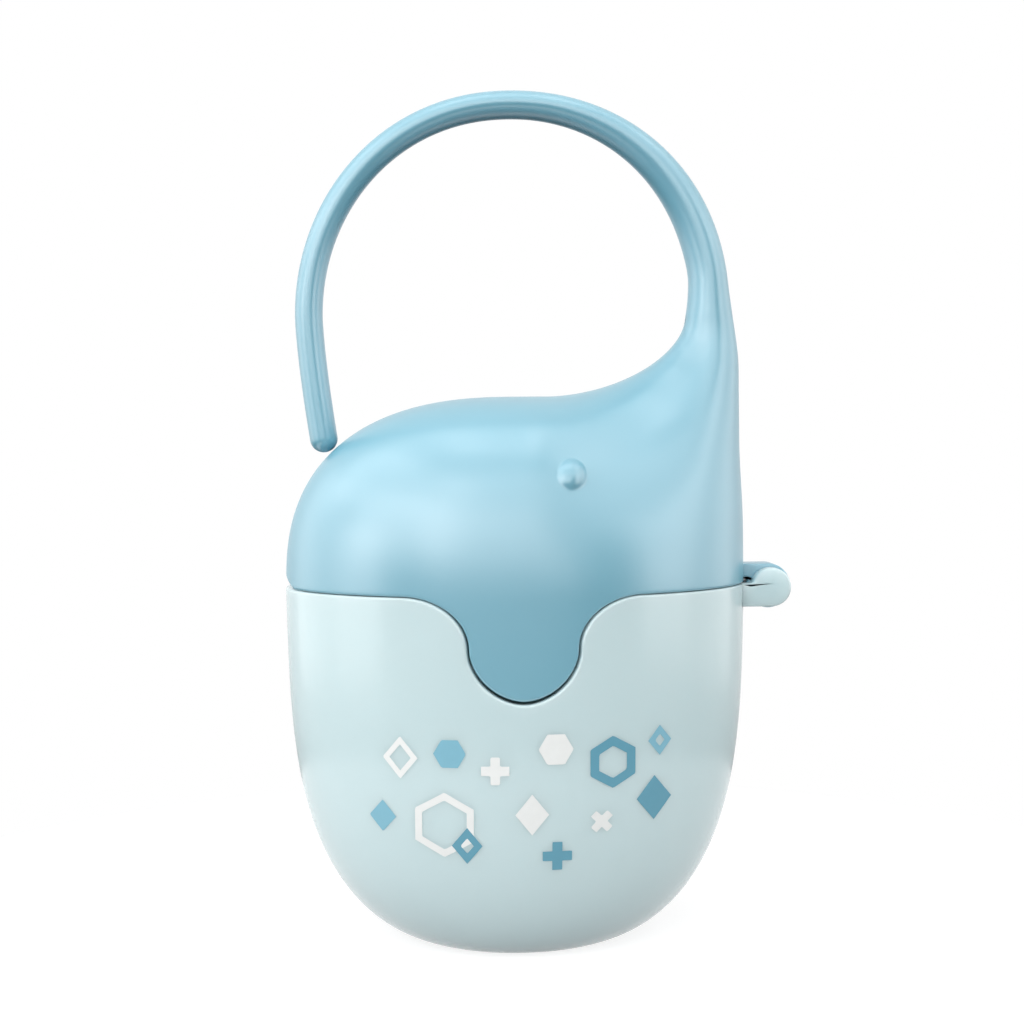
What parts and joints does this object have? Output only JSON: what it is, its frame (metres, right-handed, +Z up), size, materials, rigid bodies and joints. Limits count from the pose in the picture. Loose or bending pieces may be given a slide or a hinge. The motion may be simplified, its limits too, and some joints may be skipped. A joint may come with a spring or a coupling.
{
  "type": "soother steriliser case",
  "caption": "Oval lidded soother steriliser case shaped as an elephant, with a hinged head lid whose trunk curls over as a carrying handle, and a drilled tray inside.",
  "frame": {"origin": "middle of the flat resting face of the cup", "axes": "+Z up out of the resting face, +X towards the hinge, front face towards -Y"},
  "size_m": [0.0773, 0.053, 0.1292],
  "materials": {
    "cup_plastic": "milky pale mint polypropylene, glossy outside",
    "lid_plastic": "light blue polypropylene with a soft satin gloss",
    "pin_plastic": "pale mint plastic",
    "tray_plastic": "milky pale polypropylene"
  },
  "bodies": {
    "cup": {"case_body": "cup_plastic", "hinge_pin": "pin_plastic"},
    "lid": {"lid_head": "lid_plastic"},
    "tray": {"steam_tray": "tray_plastic"}
  },
  "joints": [
    {"name": "lid_hinge", "type": "hinge", "parent": "cup", "child": "lid", "pos_m": [0.03885, 0, 0.0534], "axis": [0, 1, 0], "range_deg": [0, 150]},
    {"name": "tray_lift", "type": "slide", "parent": "cup", "child": "tray", "axis": [0, 0, 1], "range_m": [0, 0.03]}
  ]
}
